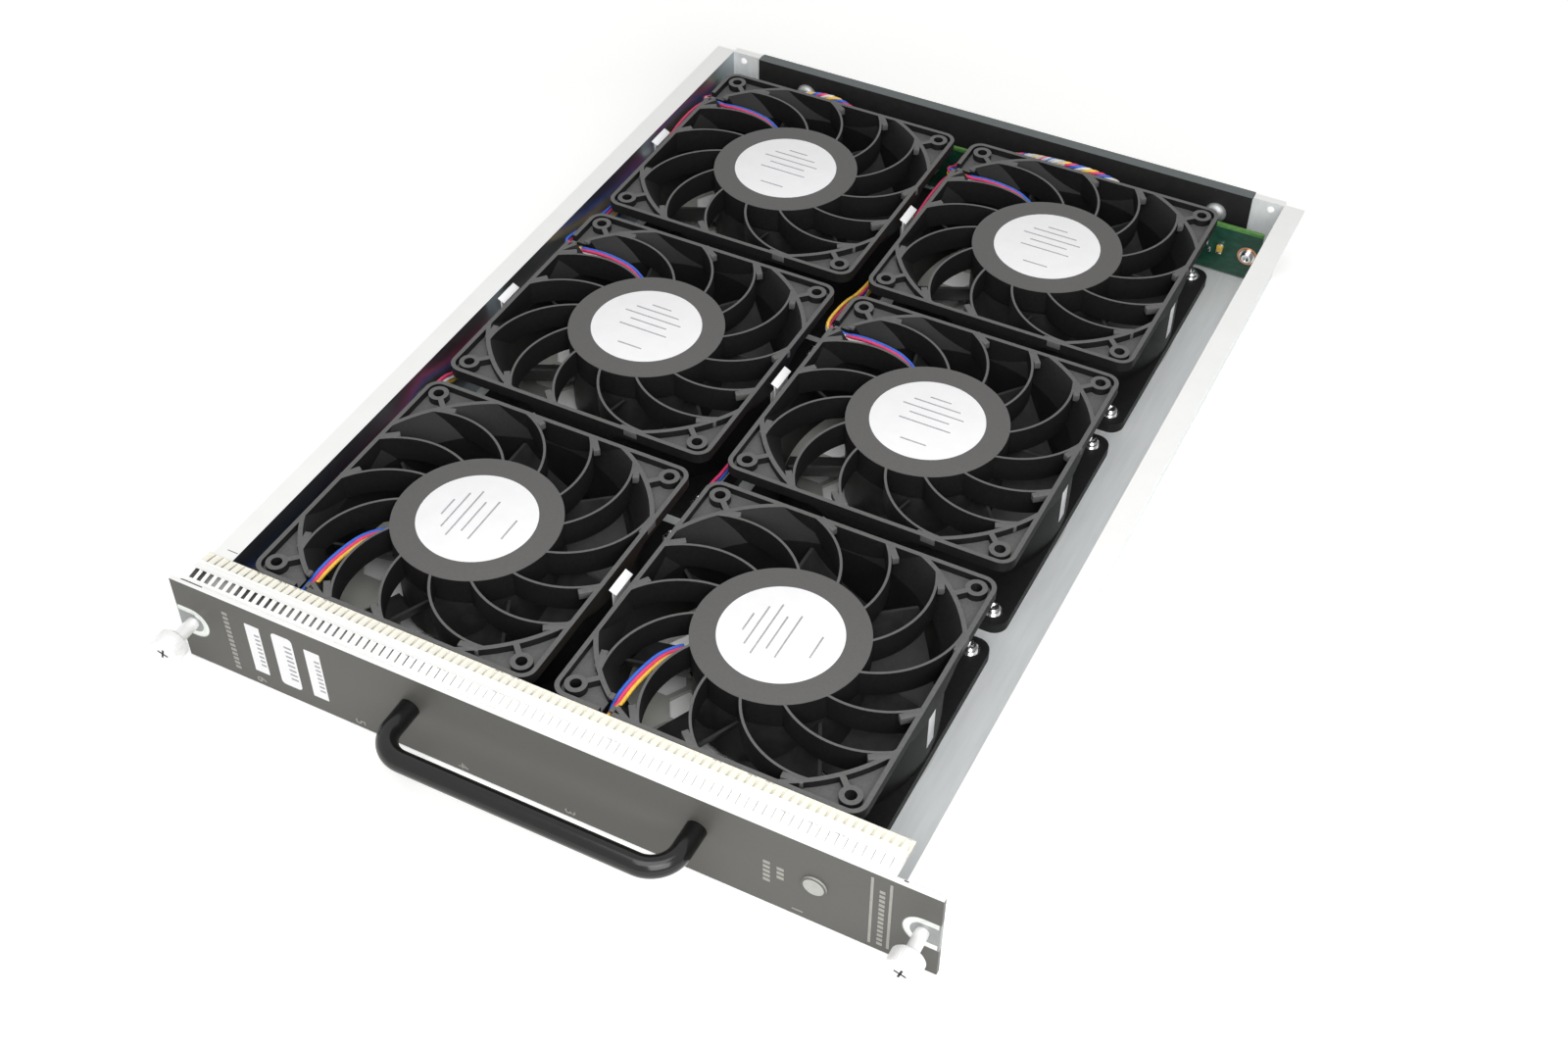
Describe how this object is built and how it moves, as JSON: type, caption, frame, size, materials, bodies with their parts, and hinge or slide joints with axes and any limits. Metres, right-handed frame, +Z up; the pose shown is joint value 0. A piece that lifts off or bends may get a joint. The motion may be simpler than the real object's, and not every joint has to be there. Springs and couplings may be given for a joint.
{
  "type": "switch fan tray",
  "caption": "Slide-in fan tray for a network switch: axial fans on a perforated steel tray with a dark front panel, pull handle, captive screws and rear control board.",
  "frame": {"origin": "on the underside, on the tray's centre line, level with the middle row of fans", "axes": "+X along the front panel to the right seen from the front, +Y from the panel to the back, +Z up through the fans"},
  "size_m": [0.3048, 0.4436, 0.0413],
  "materials": {
    "zinc_sheet": "zinc-plated sheet, satin",
    "spring_metal": "bright spring metal",
    "panel_paint": "dark grey satin paint",
    "lens": "clouded clear plastic",
    "handle_coat": "glossy black coating",
    "bright_metal": "nickel plated",
    "backing": "black sheet",
    "board": "green solder mask",
    "header_plastic": "natural nylon",
    "plug_plastic": "black moulded plastic",
    "fan_plastic": "black glass-filled plastic",
    "blade_plastic": "black moulded plastic",
    "bearing_steel": "ground steel",
    "stator_iron": "laminated core with copper windings",
    "lead_wire": "coloured insulation"
  },
  "bodies": {
    "tray": {"floor_plate": "zinc_sheet", "left_side_wall": "zinc_sheet", "right_side_wall": "zinc_sheet", "front_channel": "zinc_sheet", "back_wall": "zinc_sheet", "gasket_strip": "spring_metal", "front_panel": "panel_paint", "status_lens": "lens", "handle": "handle_coat", "left_ferrule": "bright_metal", "right_ferrule": "bright_metal", "backing_sheet": "backing", "control_board": "board", "board_posts": "bright_metal", "fan_headers": "header_plastic", "chassis_plug": "plug_plastic", "motor_bearings": "bearing_steel", "motor_stators": "stator_iron", "fan_1_frame": "fan_plastic", "fan_1_lead": "lead_wire", "fan_2_frame": "fan_plastic", "fan_2_lead": "lead_wire", "fan_3_frame": "fan_plastic", "fan_3_lead": "lead_wire", "fan_4_frame": "fan_plastic", "fan_4_lead": "lead_wire", "fan_5_frame": "fan_plastic", "fan_5_lead": "lead_wire", "fan_6_frame": "fan_plastic", "fan_6_lead": "lead_wire"},
    "rotor_1": {"fan_1_impeller": "blade_plastic", "fan_1_shaft": "bearing_steel"},
    "rotor_2": {"fan_2_impeller": "blade_plastic", "fan_2_shaft": "bearing_steel"},
    "rotor_3": {"fan_3_impeller": "blade_plastic", "fan_3_shaft": "bearing_steel"},
    "rotor_4": {"fan_4_impeller": "blade_plastic", "fan_4_shaft": "bearing_steel"},
    "rotor_5": {"fan_5_impeller": "blade_plastic", "fan_5_shaft": "bearing_steel"},
    "rotor_6": {"fan_6_impeller": "blade_plastic", "fan_6_shaft": "bearing_steel"},
    "left_screw_slide": {"left_clip": "bright_metal"},
    "left_screw_knob": {"left_screw": "bright_metal"},
    "right_screw_slide": {"right_clip": "bright_metal"},
    "right_screw_knob": {"right_screw": "bright_metal"}
  },
  "joints": [
    {"name": "fan_1_spin", "type": "hinge", "parent": "tray", "child": "rotor_1", "pos_m": [-0.0715, -0.127, 0.0205], "axis": [0, 0, 1], "continuous": true},
    {"name": "fan_2_spin", "type": "hinge", "parent": "tray", "child": "rotor_2", "pos_m": [0.0555, -0.127, 0.0205], "axis": [0, 0, 1], "continuous": true},
    {"name": "fan_3_spin", "type": "hinge", "parent": "tray", "child": "rotor_3", "pos_m": [-0.0715, 0, 0.0205], "axis": [0, 0, 1], "continuous": true},
    {"name": "fan_4_spin", "type": "hinge", "parent": "tray", "child": "rotor_4", "pos_m": [0.0555, 0, 0.0205], "axis": [0, 0, 1], "continuous": true},
    {"name": "fan_5_spin", "type": "hinge", "parent": "tray", "child": "rotor_5", "pos_m": [-0.0715, 0.127, 0.0205], "axis": [0, 0, 1], "continuous": true},
    {"name": "fan_6_spin", "type": "hinge", "parent": "tray", "child": "rotor_6", "pos_m": [0.0555, 0.127, 0.0205], "axis": [0, 0, 1], "continuous": true},
    {"name": "left_screw_travel", "type": "slide", "parent": "tray", "child": "left_screw_slide", "axis": [0, 1, 0], "range_m": [0, 0.0095]},
    {"name": "left_screw_turn", "type": "hinge", "parent": "left_screw_slide", "child": "left_screw_knob", "pos_m": [-0.1462, -0.205, 0.0205], "axis": [0, 1, 0], "continuous": true},
    {"name": "right_screw_travel", "type": "slide", "parent": "tray", "child": "right_screw_slide", "axis": [0, 1, 0], "range_m": [0, 0.0095]},
    {"name": "right_screw_turn", "type": "hinge", "parent": "right_screw_slide", "child": "right_screw_knob", "pos_m": [0.1462, -0.205, 0.0205], "axis": [0, 1, 0], "continuous": true}
  ]
}
